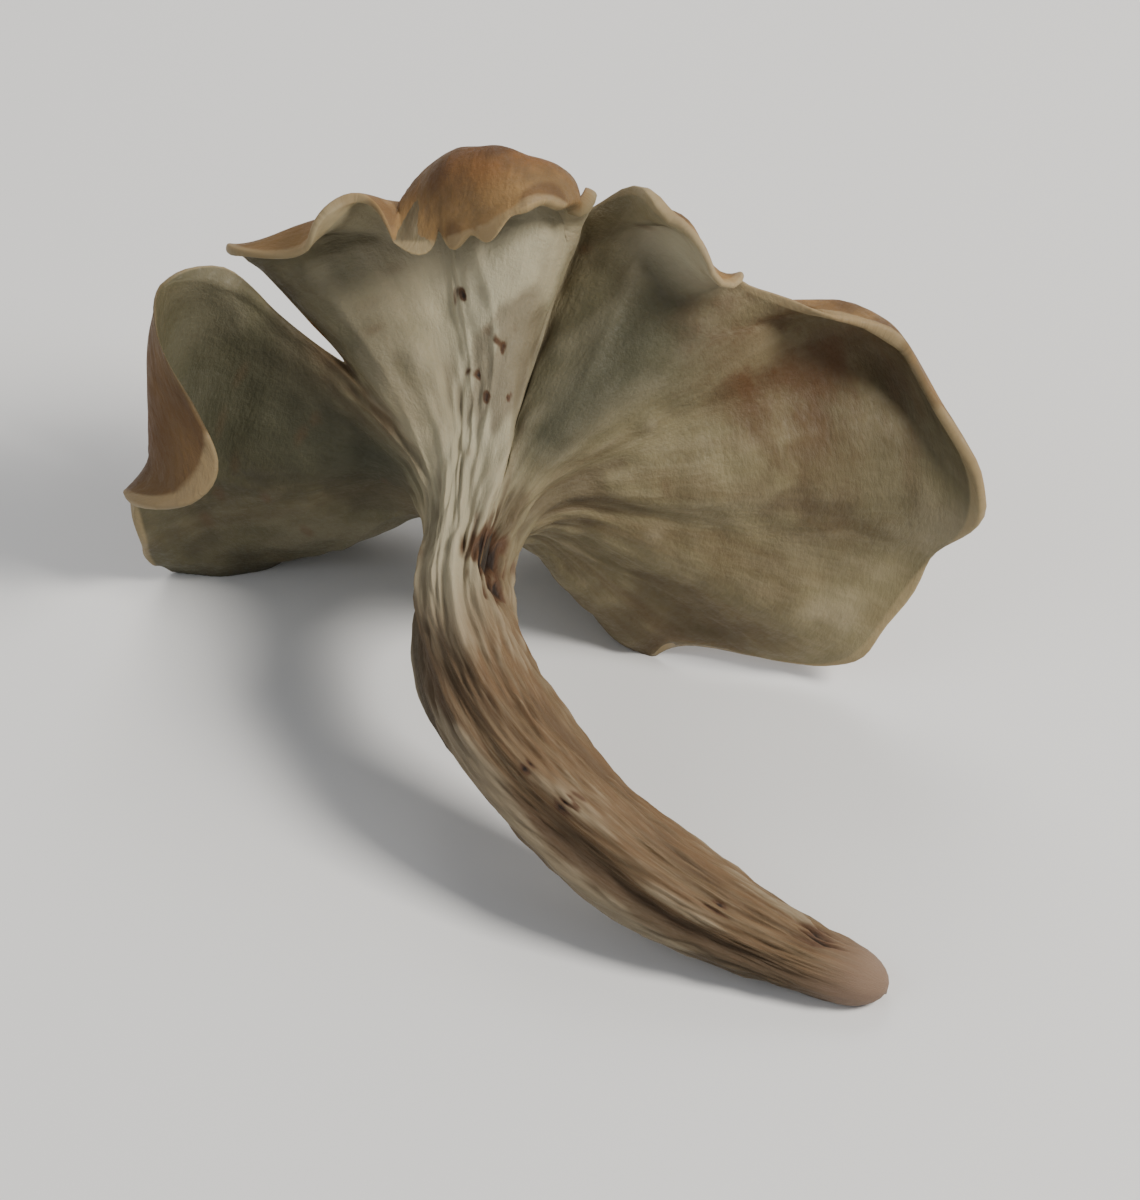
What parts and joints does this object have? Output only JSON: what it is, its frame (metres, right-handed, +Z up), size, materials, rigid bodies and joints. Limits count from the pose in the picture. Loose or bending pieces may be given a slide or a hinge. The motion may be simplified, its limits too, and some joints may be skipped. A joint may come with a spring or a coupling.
{
  "type": "black trumpet mushroom",
  "caption": "Black trumpet mushroom lying on its side: a bent hollow stem that opens into a thin-walled funnel with a rolled, waved and split rim.",
  "frame": {"origin": "middle of the mushroom's outline seen from above, on the surface it lies on", "axes": "+X towards the side of the stem's base, +Y the way the funnel opens, +Z up from the surface"},
  "size_m": [0.0488, 0.0377, 0.0306],
  "materials": {
    "flesh": "matte, dry and wrinkled"
  },
  "bodies": {
    "root": {"mushroom": "flesh"}
  },
  "joints": []
}
